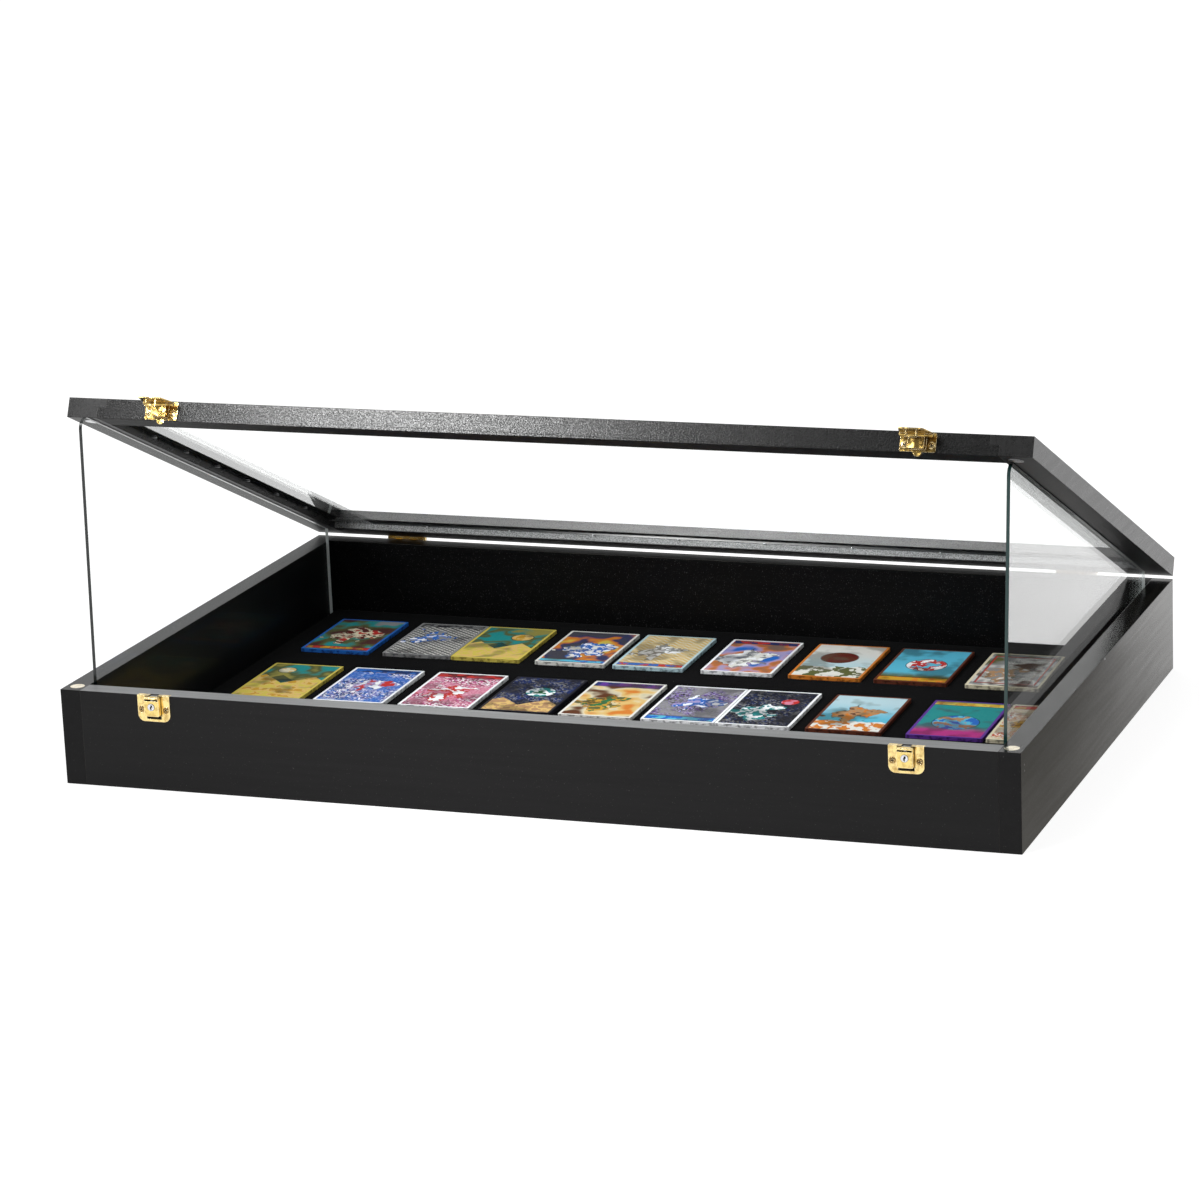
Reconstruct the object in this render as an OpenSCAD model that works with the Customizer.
// Trading card display case: a wooden base with a hinged, glazed lid that
// leans open on two clear side panels, with cards laid out on a black pad.
// The origin is the centre of the base's underside, the front is at -Y, and
// the lid is drawn as it stands open on the panels.

/* [Case] */
// Outside width of the case, left to right
case_w = 863.6; // [780:0.1:1200]
// Outside depth of the case, front to back
case_d = 558.8; // [460:0.1:900]
// Height of the base walls
base_h = 86; // [74:0.5:150]
// Thickness of the base walls
wall_t = 19; // [16:0.5:24]
// Thickness of the floor panel
floor_t = 6.4; // [4:0.1:10]
// How far the floor panel reaches into the foot of each wall
floor_groove = 6.4; // [3:0.1:10]
// Thickness of the display pad
pad_t = 10; // [4:0.5:30]

/* [Lid] */
// Angle at which the lid stands open
lid_angle = 24.3; // [15:0.1:35]
// Thickness of the lid frame
lid_t = 17.5; // [16.8:0.1:26]
// Width of the lid rails below the pane
rail_w = 28.5; // [26:0.5:50]
// How far the rails' top lip reaches over the pane
lip_w = 8; // [4:0.5:14]
// Height of the pane's lower face above the rails' underside
pane_z = 6; // [4:0.1:8]
// Thickness of the lid pane
pane_t = 3; // [2:0.1:5]
// Gap round the pane in its rabbet
pane_gap = 0.4; // [0.2:0.1:1.5]

/* [Glazing brads] */
// Diameter of a brad
brad_d = 1; // [0.8:0.1:1.6]
// How far a brad stands out under the pane
brad_out = 5; // [3:0.5:9]
// Depth of a brad in the rail
brad_in = 8; // [4:0.5:14]
// Brads in each side rail
side_brads = 8; // [4:1:12]
// Brads in each of the front and back rails
cross_brads = 10; // [4:1:14]
// Distance of the end brads from the ends of the frame
brad_inset = 42; // [40:1:60]

/* [Side panels] */
// Thickness of the clear side panels
panel_t = 3; // [2:0.1:4]
// Length of the side panels at the foot
panel_len = 508; // [400:0.5:520]
// Radius of the panels' upper front corner
panel_corner_r = 9; // [2:0.5:20]
// Gap between the lid's discs and the top of the panels
panel_top_gap = 0.3; // [0.2:0.1:0.9]
// Gap between a panel and the pad
panel_pad_gap = 0.4; // [0.2:0.1:0.9]
// Gap between the left panel and its wall
left_panel_gap = 0.4; // [0.3:0.1:0.9]
// Gap between the right panel and its wall
right_panel_gap = 2.5; // [0.3:0.1:3]
// Distance from the front wall to the foot of the left panel
left_panel_setback = 4.7; // [2:0.1:12]
// Distance from the front wall to the foot of the right panel
right_panel_setback = 11.3; // [2:0.1:12]
// Backward lean of the left panel's front edge
left_panel_lean = 1.8; // [0:0.1:10]
// Backward lean of the right panel's front edge
right_panel_lean = 6; // [0:0.1:10]

/* [Cards] */
// Width of a card block
card_w = 69; // [55:0.5:71]
// Length of a card block, front to back
card_l = 108; // [80:1:115]
// Thickness of a card block
card_t = 3.5; // [1:0.1:6]
// Radius of the card blocks' corners
card_corner_r = 1.5; // [0.5:0.1:5]
// Distance from the back wall to the back row
back_row_inset = 38.8; // [10:0.1:60]
// Distance between the two rows
row_gap = 52; // [10:0.5:80]
// Turn of each row on the pad
row_turn = 1.2; // [0:0.1:2]

/* [Hinges] */
// Length of a hinge
hinge_len = 38; // [28:1:60]
// Distance from the case's side to the middle of a hinge
hinge_inset = 92.5; // [60:0.5:200]
// Distance of the hinge axis behind the case
hinge_offset = 6.5; // [5.5:0.1:9]
// Outer radius of the hinge knuckles
knuckle_r = 3; // [2.6:0.1:4]
// Radius of the hinge pin
hinge_pin_r = 1.5; // [1:0.1:1.8]
// Thickness of a hinge leaf
leaf_t = 1.3; // [1:0.1:1.8]
// Height of a hinge leaf
leaf_h = 15; // [12:0.5:16]
// Knuckles on a hinge
knuckles = 5; // [3:2:7]

/* [Locks and hasps] */
// Distance from the left side to the middle of the left lock
left_lock_inset = 90.2; // [60:0.1:200]
// Distance from the right side to the middle of the right lock
right_lock_inset = 95.8; // [60:0.1:200]
// Width of a lock or hasp plate
plate_w = 30.5; // [29.5:0.1:36]
// Thickness of a lock plate
lock_plate_t = 1; // [0.8:0.1:1.5]
// Height of a lock plate
lock_plate_h = 23.4; // [22.8:0.1:30]
// Width of a lock box
lock_box_w = 14.2; // [13.6:0.1:15]
// Height of a lock box
lock_box_h = 17; // [16.6:0.1:17.8]
// How far a lock box stands out from its plate
lock_box_out = 5; // [4.8:0.1:7]
// Distance from the base's top edge down to the key cylinder
cylinder_drop = 9.1; // [8.8:0.1:9.6]
// Radius of the key cylinder
cylinder_r = 3.2; // [2.6:0.1:3.4]
// Thickness of a hasp plate
hasp_plate_t = 0.9; // [0.6:0.1:1.2]
// How far the hasp's block stands out from its plate
hasp_block_out = 6.7; // [5.5:0.1:6.9]
// Length of a hasp flap from its pin
flap_len = 20; // [19:0.1:20.5]
// Width of a hasp flap at its pin
flap_w = 28; // [26:0.5:29]
// Width of a hasp flap at its tip
flap_tip_w = 20.5; // [14:0.5:24]
// Thickness of a hasp flap
flap_t = 1.1; // [0.8:0.1:1.2]
// Radius of a hasp pin
hasp_pin_r = 0.9; // [0.6:0.1:1]

/* [Magnets and screws] */
// Diameter of the magnets and of the discs that meet them
magnet_d = 12.7; // [8:0.1:14]
// Thickness of a magnet or disc
magnet_t = 3; // [2:0.1:5]
// How far the lid's discs stand out
strike_out = 0.6; // [0.2:0.1:1.5]
// Diameter of the screw heads on the locks and hasps
screw_head_d = 5.8; // [5:0.1:6.2]
// Diameter of the screw heads on the hinges
hinge_screw_head_d = 5; // [4:0.1:5.6]
// Length of a screw
screw_len = 12; // [8:0.5:14]

/* [Hidden] */
$fn = 48;

WOOD = "#26252a";
PAD = "#17161a";
BRASS = "#c99a3f";
STEEL = "#b9bbbf";
CLEAR = [0.8, 0.88, 0.88, 0.35];
CARD = "#4f7fb0";

// Overcut that keeps cuts clear of the faces they open
eps = 0.5;
// Radial clearance of turning parts, of bonded discs, and of nails and screws
run_gap = 0.05;
bond_gap = 0.05;
shank_gap = 0.05;
// Gap between neighbouring knuckles
knuckle_gap = 0.2;

half_w = case_w / 2;
half_d = case_d / 2;
inner_half_w = half_w - wall_t;
inner_half_d = half_d - wall_t;
pad_top = floor_t + pad_t;

// The lid turns about a line along X, level with the top of the base
hinge_y = half_d + hinge_offset;
hinge_z = base_h;
pane_half_w = half_w - rail_w - pane_gap;
pane_half_d = half_d - rail_w - pane_gap;

// Side panels and the pad between them
left_panel_x = -inner_half_w + left_panel_gap;
right_panel_x = inner_half_w - right_panel_gap - panel_t;
pad_x0 = left_panel_x + panel_t + panel_pad_gap;
pad_x1 = right_panel_x - panel_pad_gap;
pad_w = pad_x1 - pad_x0;

// Free space left and right of each card, as shares of the pad that is free
back_free = [29.3, 15, 0.5, 15.5, 8, 17.5, 15.5, 12.5, 17, 64];
front_free = [29.8, 13, 14.5, 9, 8, 9, 0.5, 14.5, 22.5, 3, 2];
back_row_y = inner_half_d - back_row_inset - card_l / 2;
front_row_y = back_row_y - card_l - row_gap;

// Magnets stand in the side walls, and the lid's discs in its side rails
magnet_x = half_w - 10.5;
magnet_y = -half_d + 12.5;
strike_x = half_w - 17.2;
strike_y = -half_d + 15;

left_hinge_x = -half_w + hinge_inset;
right_hinge_x = half_w - hinge_inset;
hinge_pin_head_t = 0.8;
hinge_pin_head_r = 2.3;
hinge_screw_shank_r = 1.1;
hinge_screw_spread = 0.27 * hinge_len;

left_lock_x = -half_w + left_lock_inset;
right_lock_x = half_w - right_lock_inset;
plate_screw_x = plate_w / 2 - 3.7;
screw_shank_r = 1.3;
lock_foot_r = 6.3;
lock_lip_y = 4;
lock_box_top = base_h - 0.6;
lock_box_wall = 0.6;
lock_box_face_t = 0.9;
lock_box_corner_r = 1.2;
lock_box_edge = 0.5;
lock_slot_h = 1.5;
lock_slot_side = 0.8;
lock_screw_z = base_h - 12.7;
foot_slot_w = 14;
foot_slot_h = 3;
foot_slot_depth = 2;
cylinder_z = base_h - cylinder_drop;
cylinder_proud = 0.5;
cylinder_flange_r = cylinder_r + 0.6;
cylinder_flange_t = 0.6;
cylinder_stub_r = 1.4;
key_slit_w = 0.8;
key_slit_h = 3.4;
key_slit_depth = 1.4;
cam_t = 0.8;
cam_hub_r = 2.4;
cam_reach = 7.2;
cam_tip_r = 1;

// Heights on the hasp are above the lid's underside
hasp_z0 = 0.6;
hasp_z1 = 16.6;
hasp_corner_r = 1.2;
hasp_screw_z = 6.2;
hasp_block_w = 14;
hasp_block_z0 = 2.4;
hasp_block_z1 = 14.5;
hasp_block_wall = 1;
hasp_tab_r = 3.6;
hasp_tab_z = 0.4;
hasp_barrel_r = 1.7;
hasp_axis_y = -(hasp_plate_t + hasp_block_out - 0.1);
hasp_axis_z = 13.6;
flap_root = hasp_barrel_r + 0.7;
flap_ear_x = hasp_block_w / 2 + 0.3;
hasp_pin_head_t = 0.5;
hasp_pin_head_r = 1.3;
staple_w = 10;
staple_bar = 1.2;
staple_t = 1.2;
staple_h = 6.2;
// The staple drops into the lock box's slot when the flap is down
staple_from_pin = 16.5;
lock_slot_z = base_h + hasp_axis_z - staple_from_pin;

// Clearance round the hasp's tab in the lock plate
tab_gap = 0.5;

// Distance from the case's left side to the left edge of card i in a row
function total(v, n) = n < 0 ? 0 : v[n] + total(v, n - 1);
function card_edge(free, n, i) =
    pad_x0 + i * card_w + total(free, i) * (pad_w - n * card_w) / total(free, n);

// Points of an arc that rounds corner p between the directions of a and b
function unit(v) = v / norm(v);
function rounded(p, a, b, r, steps = 12) =
    let (
        u = unit(a - p), v = unit(b - p),
        half = acos(u * v) / 2,
        c = p + unit(u + v) * r / sin(half),
        s = p + u * r / tan(half), e = p + v * r / tan(half),
        a0 = atan2(s.y - c.y, s.x - c.x),
        turn = atan2(e.y - c.y, e.x - c.x) - a0,
        sweep = turn > 180 ? turn - 360 : turn < -180 ? turn + 360 : turn
    )
    [for (i = [0 : steps]) c + r * [cos(a0 + sweep * i / steps), sin(a0 + sweep * i / steps)]];

// Draws children given in the closed lid's place, with the lid standing open
module open_lid() {
    translate([0, hinge_y, hinge_z])
        rotate([-lid_angle, 0, 0])
            translate([0, -hinge_y, -hinge_z])
                children();
}

// Extrudes an outline drawn in X and Z towards the front
module to_front(t) {
    rotate([90, 0, 0])
        linear_extrude(t)
            children();
}

// A rectangle with round corners, centred on x = 0 and standing on z = z0
module round_rect(w, z0, z1, r) {
    translate([-w / 2 + r, z0])
        square([w - 2 * r, z1 - z0]);
    translate([-w / 2, z0 + r])
        square([w, z1 - z0 - 2 * r]);
    for (x = [-w / 2 + r, w / 2 - r])
        for (z = [z0 + r, z1 - r])
            translate([x, z])
                circle(r);
}

// A countersunk wood screw along Z, its head flush at z = 0, point down
module wood_screw(head_d, shank_r, grow = 0) {
    head_r = head_d / 2;
    cone_h = head_r - shank_r;
    point_h = 3;
    rotate_extrude()
        polygon([
            [0, -screw_len - grow],
            [shank_r + grow, -screw_len + point_h - grow],
            [shank_r + grow, -cone_h - grow],
            [head_r + grow, -grow],
            [head_r + grow, grow],
            [0, grow]
        ]);
}

// The raised top of a screw head, with its cross recess
module screw_with_cross(head_d, shank_r) {
    dome = 0.45;
    cross_w = 0.7;
    cross_depth = 1.1;
    difference() {
        union() {
            wood_screw(head_d, shank_r);
            rotate_extrude()
                polygon([
                    [0, -0.1], [head_d / 2, -0.1], [head_d / 2, 0],
                    [head_d * 0.42, dome * 0.55], [head_d * 0.26, dome * 0.9], [0, dome]
                ]);
        }
        for (a = [0, 90])
            rotate([0, 0, a + 20])
                translate([-head_d * 0.32, -cross_w / 2, dome - cross_depth])
                    cube([head_d * 0.64, cross_w, cross_depth + eps]);
    }
}

// Places a screw or its hole in a front face, at y, pointing back
module into_front(x, y, z) {
    translate([x, y, z])
        rotate([90, 0, 0])
            children();
}

// Places a screw or its hole in a rear face, pointing forward
module into_back(x, y, z) {
    translate([x, y, z])
        rotate([-90, 0, 0])
            children();
}

// The room that the floor panel takes between and inside the walls
module floor_room(down = 0) {
    half_x = inner_half_w + floor_groove;
    half_y = inner_half_d + floor_groove;
    translate([-half_x, -half_y, -down])
        cube([2 * half_x, 2 * half_y, floor_t + down]);
}

module side_wall(side) {
    color(WOOD)
        difference() {
            translate([side < 0 ? -half_w : inner_half_w, -half_d, 0])
                cube([wall_t, case_d, base_h]);
            floor_room(eps);
            translate([side * magnet_x, magnet_y, base_h - magnet_t])
                cylinder(h = magnet_t + eps, d = magnet_d + 2 * bond_gap);
        }
}

module cross_wall(y) {
    difference() {
        translate([-inner_half_w, y, 0])
            cube([2 * inner_half_w, wall_t, base_h]);
        floor_room(eps);
        children();
    }
}

module base_front_wall() {
    color(WOOD)
        cross_wall(-half_d)
            for (x = [left_lock_x, right_lock_x]) {
                lock_screw_places(x)
                    wood_screw(screw_head_d, screw_shank_r, shank_gap);
                translate([x - plate_w / 2, -half_d - eps, base_h - lock_plate_t])
                    cube([plate_w, lock_lip_y + eps, lock_plate_t + eps]);
                translate([x - foot_slot_w / 2, -half_d - eps, foot_slot_z()])
                    cube([foot_slot_w, foot_slot_depth + eps, foot_slot_h]);
            }
}

module base_back_wall() {
    color(WOOD)
        cross_wall(inner_half_d)
            hinge_screw_places(base_h - hinge_screw_drop())
                wood_screw(hinge_screw_head_d, hinge_screw_shank_r, shank_gap);
}

module base_floor_panel() {
    color(WOOD)
        floor_room();
}

module display_pad() {
    color(PAD)
        translate([pad_x0, -inner_half_d, floor_t])
            cube([pad_w, 2 * inner_half_d, pad_t]);
}

module base_magnets() {
    color(STEEL)
        for (side = [-1, 1])
            translate([side * magnet_x, magnet_y, base_h - magnet_t])
                cylinder(h = magnet_t, d = magnet_d);
}

// A rail's section: x runs in from the outer edge, y up from the underside
module rail_section() {
    polygon([
        [0, 0], [rail_w, 0], [rail_w, pane_z + pane_t], [rail_w + lip_w, pane_z + pane_t],
        [rail_w + lip_w, lid_t], [0, lid_t]
    ]);
}

// The left side rail on the closed lid, full depth
module left_rail_stock() {
    translate([-half_w, half_d, base_h])
        rotate([90, 0, 0])
            linear_extrude(case_d)
                rail_section();
}

// The front rail on the closed lid, cut to fit between the side rails
module front_rail_stock() {
    difference() {
        translate([-half_w + rail_w, -half_d, base_h])
            rotate([90, 0, 90])
                linear_extrude(case_w - 2 * rail_w)
                    rail_section();
        for (side = [-1, 1])
            mirror([side > 0 ? 1 : 0, 0, 0])
                translate([-half_w, -half_d - eps, base_h + pane_z + pane_t])
                    cube([rail_w + lip_w, case_d + 2 * eps, lid_t]);
    }
}

module side_rail(side) {
    color(WOOD)
        open_lid()
            difference() {
                mirror([side > 0 ? 1 : 0, 0, 0])
                    left_rail_stock();
                translate([side * strike_x, strike_y, base_h - eps])
                    cylinder(h = magnet_t - strike_out + eps, d = magnet_d + 2 * bond_gap);
                side_brad_places(side)
                    brad(shank_gap);
            }
}

module lid_front_rail() {
    color(WOOD)
        open_lid()
            difference() {
                front_rail_stock();
                cross_brad_places(1)
                    brad(shank_gap);
                for (x = [left_lock_x, right_lock_x])
                    hasp_screw_places(x)
                        wood_screw(screw_head_d, screw_shank_r, shank_gap);
            }
}

module lid_back_rail() {
    color(WOOD)
        open_lid()
            difference() {
                mirror([0, 1, 0])
                    front_rail_stock();
                cross_brad_places(-1)
                    brad(shank_gap);
                hinge_screw_places(base_h + hinge_screw_drop())
                    wood_screw(hinge_screw_head_d, hinge_screw_shank_r, shank_gap);
            }
}

module lid_pane() {
    color(CLEAR)
        open_lid()
            translate([-pane_half_w, -pane_half_d, base_h + pane_z])
                cube([2 * pane_half_w, 2 * pane_half_d, pane_t]);
}

// A brad along X, its head at the positive end
module brad(grow = 0) {
    translate([-brad_in - grow, 0, 0])
        rotate([0, 90, 0])
            cylinder(h = brad_in + brad_out + 2 * grow, r = brad_d / 2 + grow, $fn = 16);
}

module side_brad_places(side) {
    step = (case_d - 2 * brad_inset) / (side_brads - 1);
    for (i = [0 : side_brads - 1])
        mirror([side > 0 ? 1 : 0, 0, 0])
            translate([-half_w + rail_w, -half_d + brad_inset + i * step, brad_z()])
                children();
}

module cross_brad_places(front) {
    step = (case_w - 2 * brad_inset) / (cross_brads - 1);
    for (i = [0 : cross_brads - 1])
        mirror([0, front > 0 ? 0 : 1, 0])
            translate([-half_w + brad_inset + i * step, -half_d + rail_w, brad_z()])
                rotate([0, 0, 90])
                    children();
}

// Height of the brads: just under the pane
function brad_z() = base_h + pane_z - brad_d / 2 - 0.1;

module glazing_brads() {
    color(STEEL)
        open_lid() {
            for (side = [-1, 1])
                side_brad_places(side)
                    brad();
            for (front = [-1, 1])
                cross_brad_places(front)
                    brad();
        }
}

module lid_strikes() {
    color(STEEL)
        open_lid()
            for (side = [-1, 1])
                translate([side * strike_x, strike_y, base_h - strike_out])
                    cylinder(h = magnet_t, d = magnet_d);
}

// Height of a panel's top edge at depth y, just under the open lid's discs
function panel_top(y) =
    hinge_z + (hinge_y - y) * tan(lid_angle) - (strike_out + panel_top_gap) / cos(lid_angle);

// A clear panel drawn by its outline in Y and Z
module side_glass(x, setback, lean) {
    foot = [-inner_half_d + setback, floor_t];
    heel = [foot.x + panel_len, floor_t];
    // The leaning front edge meets the line of the open lid here
    run = (panel_top(foot.x) - floor_t) / (1 + tan(lean) * tan(lid_angle));
    brow = [foot.x + run * tan(lean), floor_t + run];
    rear_top = [heel.x, panel_top(heel.x)];
    color(CLEAR)
        translate([x, 0, 0])
            rotate([90, 0, 90])
                linear_extrude(panel_t)
                    polygon(concat(
                        [foot, heel, rear_top],
                        rounded(brow, rear_top, foot, panel_corner_r)
                    ));
}

// One knuckle, with the arm that joins it to a leaf on side z > 0
module knuckle(i, bore_r) {
    len = (hinge_len - (knuckles - 1) * knuckle_gap) / knuckles;
    x = -hinge_len / 2 + i * (len + knuckle_gap);
    difference() {
        union() {
            translate([x, 0, 0])
                rotate([0, 90, 0])
                    cylinder(h = len, r = knuckle_r);
            translate([x, -hinge_offset, leaf_gap()])
                cube([len, hinge_offset, leaf_t]);
        }
        translate([x - eps, 0, 0])
            rotate([0, 90, 0])
                cylinder(h = len + 2 * eps, r = bore_r);
    }
}

// Half the gap between the two leaves' arms when the lid is shut
function leaf_gap() = 0.2;
// Distance of the hinge screws from the joint line
function hinge_screw_drop() = leaf_gap() + leaf_h / 2 + leaf_t / 2;

// A leaf above the hinge axis, with the knuckles whose number is in the list
module leaf(knuckle_list) {
    difference() {
        union() {
            translate([-hinge_len / 2, -hinge_offset, leaf_gap()])
                cube([hinge_len, leaf_t, leaf_h]);
            for (i = knuckle_list)
                knuckle(i, hinge_pin_r + run_gap);
        }
        for (x = [-hinge_screw_spread, hinge_screw_spread])
            into_back(x, -hinge_offset + leaf_t, hinge_screw_drop())
                wood_screw(hinge_screw_head_d, hinge_screw_shank_r, shank_gap);
    }
}

module hinge_base_leaf(x) {
    color(BRASS)
        translate([x, hinge_y, hinge_z])
            mirror([0, 0, 1])
                leaf([for (i = [0 : 2 : knuckles - 1]) i]);
}

module hinge_lid_leaf(x) {
    color(BRASS)
        open_lid()
            translate([x, hinge_y, hinge_z])
                leaf([for (i = [1 : 2 : knuckles - 1]) i]);
}

module hinge_pin(x) {
    color(BRASS)
        translate([x, hinge_y, hinge_z])
            rotate([0, 90, 0]) {
                translate([0, 0, -hinge_len / 2])
                    cylinder(h = hinge_len, r = hinge_pin_r);
                for (z = [-hinge_len / 2 - hinge_pin_head_t, hinge_len / 2])
                    translate([0, 0, z])
                        cylinder(h = hinge_pin_head_t, r = hinge_pin_head_r);
            }
}

module hinge_screw_places(z) {
    for (x = [left_hinge_x, right_hinge_x])
        for (dx = [-hinge_screw_spread, hinge_screw_spread])
            into_back(x + dx, half_d + leaf_t, z)
                children();
}

module hinge_base_screws() {
    color(BRASS)
        hinge_screw_places(base_h - hinge_screw_drop())
            screw_with_cross(hinge_screw_head_d, hinge_screw_shank_r);
}

module hinge_lid_screws() {
    color(BRASS)
        open_lid()
            hinge_screw_places(base_h + hinge_screw_drop())
                screw_with_cross(hinge_screw_head_d, hinge_screw_shank_r);
}

module lock_screw_places(x) {
    for (dx = [-plate_screw_x, plate_screw_x])
        into_front(x + dx, -half_d - lock_plate_t, lock_screw_z)
            children();
}

module hasp_screw_places(x) {
    for (dx = [-plate_screw_x, plate_screw_x])
        into_front(x + dx, -half_d - hasp_plate_t, base_h + hasp_screw_z)
            children();
}

// The slot in a lock plate stands just under the lock box
function foot_slot_z() = lock_box_top - lock_box_h - foot_slot_h - 0.6;

module lock_plate(x) {
    z0 = base_h - lock_plate_h;
    color(BRASS)
        difference() {
            translate([x, -half_d, 0]) {
                to_front(lock_plate_t) {
                    round_rect(plate_w, z0, base_h, lock_foot_r);
                    translate([-plate_w / 2, base_h - lock_foot_r - 1])
                        square([plate_w, lock_foot_r + 1]);
                }
                translate([-plate_w / 2, -lock_plate_t, base_h - lock_plate_t])
                    cube([plate_w, lock_plate_t + lock_lip_y, lock_plate_t]);
            }
            lock_screw_places(x)
                wood_screw(screw_head_d, screw_shank_r, shank_gap);
            // Room for the hasp's tab when the lid is shut
            translate([x, -half_d + lock_lip_y + eps, base_h + hasp_tab_z])
                rotate([90, 0, 0])
                    cylinder(h = lock_lip_y + lock_plate_t + 2 * eps, r = hasp_tab_r + tab_gap);
            translate([x - foot_slot_w / 2, -half_d - lock_plate_t - eps, foot_slot_z()])
                cube([foot_slot_w, lock_plate_t + 2 * eps, foot_slot_h]);
            // Bearing of the key cylinder's rear end
            translate([x, -half_d + eps, cylinder_z])
                rotate([90, 0, 0])
                    cylinder(h = lock_plate_t + 2 * eps, r = cylinder_stub_r + run_gap);
        }
}

module lock_box(x) {
    z0 = lock_box_top - lock_box_h;
    back = -half_d - lock_plate_t;
    inside = lock_box_out - lock_box_face_t;
    color(BRASS)
        difference() {
            translate([x, back, 0]) {
                to_front(lock_box_out - lock_box_edge)
                    round_rect(lock_box_w, z0, lock_box_top, lock_box_corner_r);
                to_front(lock_box_out)
                    round_rect(
                        lock_box_w - 2 * lock_box_edge, z0 + lock_box_edge,
                        lock_box_top - lock_box_edge, lock_box_corner_r
                    );
            }
            translate([x - lock_box_w / 2 + lock_box_wall, back - inside, z0 + lock_box_wall])
                cube([
                    lock_box_w - 2 * lock_box_wall, inside + eps,
                    lock_box_h - 2 * lock_box_wall
                ]);
            translate([
                x - lock_box_w / 2 + lock_slot_side, back - lock_box_out - eps,
                lock_slot_z - lock_slot_h / 2
            ])
                cube([lock_box_w - 2 * lock_slot_side, lock_box_out, lock_slot_h]);
            translate([x, back, cylinder_z])
                rotate([90, 0, 0])
                    cylinder(h = lock_box_out + eps, r = cylinder_r + run_gap);
        }
}

// Depths of the lock's works, measured forward from the base's front face
function box_inner_face() = lock_plate_t + lock_box_out - lock_box_face_t;
function flange_front() = box_inner_face() - 0.1;
function cam_front() = flange_front() - cylinder_flange_t;

module key_cylinder(x) {
    color(STEEL)
        translate([x, -half_d, cylinder_z])
            difference() {
                rotate([90, 0, 0]) {
                    translate([0, 0, cam_front()])
                        cylinder(
                            h = lock_plate_t + lock_box_out + cylinder_proud - cam_front(),
                            r = cylinder_r
                        );
                    translate([0, 0, cam_front()])
                        cylinder(h = cylinder_flange_t, r = cylinder_flange_r);
                    translate([0, 0, 0.1])
                        cylinder(h = cam_front(), r = cylinder_stub_r);
                }
                translate([
                    -key_slit_w / 2,
                    -(lock_plate_t + lock_box_out + cylinder_proud) - eps,
                    -key_slit_h + 0.9
                ])
                    cube([key_slit_w, key_slit_depth + eps, key_slit_h]);
            }
}

module lock_cam(x) {
    color(STEEL)
        translate([x, -half_d, cylinder_z])
            rotate([90, 0, 0])
                translate([0, 0, cam_front() - cam_t])
                    linear_extrude(cam_t)
                        difference() {
                            union() {
                                circle(cam_hub_r);
                                translate([-cam_tip_r, 0])
                                    square([2 * cam_tip_r, cam_reach - cam_tip_r]);
                                translate([0, cam_reach - cam_tip_r])
                                    circle(cam_tip_r);
                            }
                            circle(cylinder_stub_r + 0.02);
                        }
}

module lock_screws() {
    color(BRASS)
        for (x = [left_lock_x, right_lock_x])
            lock_screw_places(x)
                screw_with_cross(screw_head_d, screw_shank_r);
}

// A pressed plate with a hollow square block that carries the flap's pin
module hasp_plate(x) {
    block_h = hasp_block_z1 - hasp_block_z0;
    color(BRASS)
        open_lid()
            difference() {
                translate([x, -half_d, base_h]) {
                    to_front(hasp_plate_t) {
                        round_rect(plate_w, hasp_z0, hasp_z1, hasp_corner_r);
                        translate([0, hasp_tab_z])
                            circle(hasp_tab_r);
                    }
                    to_front(hasp_plate_t + hasp_block_out)
                        round_rect(hasp_block_w, hasp_block_z0, hasp_block_z1, 0.6);
                    translate([-hasp_block_w / 2, hasp_axis_y, hasp_axis_z])
                        rotate([0, 90, 0])
                            cylinder(h = hasp_block_w, r = hasp_barrel_r);
                }
                translate([
                    x - hasp_block_w / 2 + hasp_block_wall,
                    -half_d - hasp_plate_t - hasp_block_out + hasp_block_wall + 1.6,
                    base_h + hasp_block_z0 + hasp_block_wall
                ])
                    cube([
                        hasp_block_w - 2 * hasp_block_wall, hasp_block_out,
                        block_h - 2 * hasp_block_wall
                    ]);
                hasp_screw_places(x)
                    wood_screw(screw_head_d, screw_shank_r, shank_gap);
                translate([x - hasp_block_w, -half_d + hasp_axis_y, base_h + hasp_axis_z])
                    rotate([0, 90, 0])
                        cylinder(h = 2 * hasp_block_w, r = hasp_pin_r + run_gap);
            }
}

module hasp_pin(x) {
    half = flap_w / 2;
    color(BRASS)
        open_lid()
            translate([x, -half_d + hasp_axis_y, base_h + hasp_axis_z])
                rotate([0, 90, 0]) {
                    translate([0, 0, -half])
                        cylinder(h = 2 * half, r = hasp_pin_r);
                    for (z = [-half - hasp_pin_head_t, half])
                        translate([0, 0, z])
                            cylinder(h = hasp_pin_head_t, r = hasp_pin_head_r);
                }
}

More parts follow.
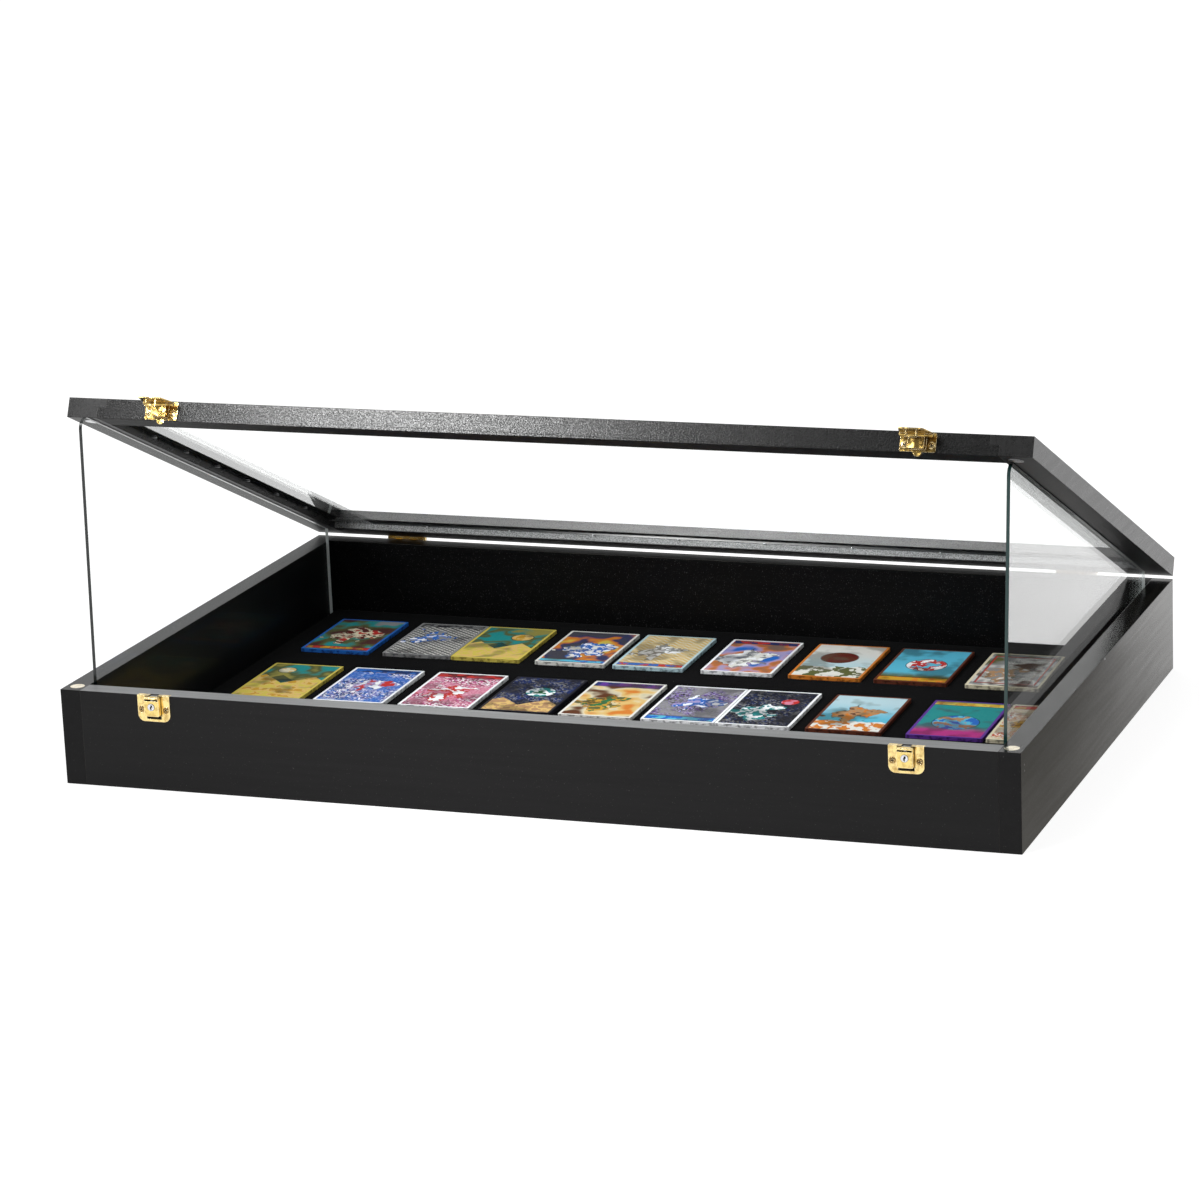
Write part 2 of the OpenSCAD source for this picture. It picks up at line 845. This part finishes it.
// The flap standing straight out from the lid's front, with its staple below
module hasp_flap(x) {
    half = flap_w / 2;
    color(BRASS)
        open_lid()
            translate([x, -half_d + hasp_axis_y, base_h + hasp_axis_z])
                difference() {
                    union() {
                        translate([0, 0, hasp_barrel_r - flap_t])
                            mirror([0, 1, 0])
                                linear_extrude(flap_t)
                                    polygon([
                                        [-half, 0], [-flap_ear_x, 0],
                                        [-flap_ear_x, flap_root], [flap_ear_x, flap_root],
                                        [flap_ear_x, 0], [half, 0],
                                        [half, flap_root], [flap_tip_w / 2, flap_len],
                                        [-flap_tip_w / 2, flap_len], [-half, flap_root]
                                    ]);
                        for (side = [-1, 1])
                            mirror([side > 0 ? 1 : 0, 0, 0])
                                translate([-half, 0, 0])
                                    rotate([0, 90, 0])
                                        cylinder(h = half - flap_ear_x, r = hasp_barrel_r);
                        translate([
                            -staple_w / 2, -staple_from_pin - staple_t / 2,
                            hasp_barrel_r - flap_t - staple_h
                        ])
                            cube([staple_w, staple_t, staple_h]);
                    }
                    translate([
                        -staple_w / 2 + staple_bar, -staple_from_pin - staple_t,
                        hasp_barrel_r - flap_t - staple_h + staple_bar
                    ])
                        cube([
                            staple_w - 2 * staple_bar, 2 * staple_t,
                            staple_h - staple_bar
                        ]);
                    translate([-flap_w, 0, 0])
                        rotate([0, 90, 0])
                            cylinder(h = 2 * flap_w, r = hasp_pin_r + run_gap);
                }
}

module hasp_screws() {
    color(BRASS)
        open_lid()
            for (x = [left_lock_x, right_lock_x])
                hasp_screw_places(x)
                    screw_with_cross(screw_head_d, screw_shank_r);
}

// Card i of a row whose free spaces are listed, with the row turned as one
module card(free, i, row_y) {
    n = len(free) - 1;
    mid_x = (pad_x0 + pad_x1) / 2;
    color(CARD)
        translate([mid_x, row_y, pad_top])
            rotate([0, 0, row_turn])
                translate([card_edge(free, n, i) + card_w / 2 - mid_x, 0, 0])
                    linear_extrude(card_t)
                        round_rect(card_w, -card_l / 2, card_l / 2, card_corner_r);
}

base_front_wall();
base_back_wall();
side_wall(-1);  // base_left_wall
side_wall(1);  // base_right_wall
base_floor_panel();
display_pad();
base_magnets();
lid_front_rail();
lid_back_rail();
side_rail(-1);  // lid_left_rail
side_rail(1);  // lid_right_rail
lid_pane();
glazing_brads();
lid_strikes();
side_glass(left_panel_x, left_panel_setback, left_panel_lean);  // left_side_glass
side_glass(right_panel_x, right_panel_setback, right_panel_lean);  // right_side_glass
hinge_base_leaf(left_hinge_x);  // left_hinge_base_leaf
hinge_lid_leaf(left_hinge_x);  // left_hinge_lid_leaf
hinge_pin(left_hinge_x);  // left_hinge_pin
hinge_base_leaf(right_hinge_x);  // right_hinge_base_leaf
hinge_lid_leaf(right_hinge_x);  // right_hinge_lid_leaf
hinge_pin(right_hinge_x);  // right_hinge_pin
hinge_base_screws();
hinge_lid_screws();
lock_plate(left_lock_x);  // left_lock_plate
lock_box(left_lock_x);  // left_lock_box
key_cylinder(left_lock_x);  // left_key_cylinder
lock_cam(left_lock_x);  // left_lock_cam
lock_plate(right_lock_x);  // right_lock_plate
lock_box(right_lock_x);  // right_lock_box
key_cylinder(right_lock_x);  // right_key_cylinder
lock_cam(right_lock_x);  // right_lock_cam
lock_screws();
hasp_plate(left_lock_x);  // left_hasp_plate
hasp_pin(left_lock_x);  // left_hasp_pin
hasp_flap(left_lock_x);  // left_hasp_flap
hasp_plate(right_lock_x);  // right_hasp_plate
hasp_pin(right_lock_x);  // right_hasp_pin
hasp_flap(right_lock_x);  // right_hasp_flap
hasp_screws();
for (i = [0 : len(back_free) - 2])
    card(back_free, i, back_row_y);
for (i = [0 : len(front_free) - 2])
    card(front_free, i, front_row_y);
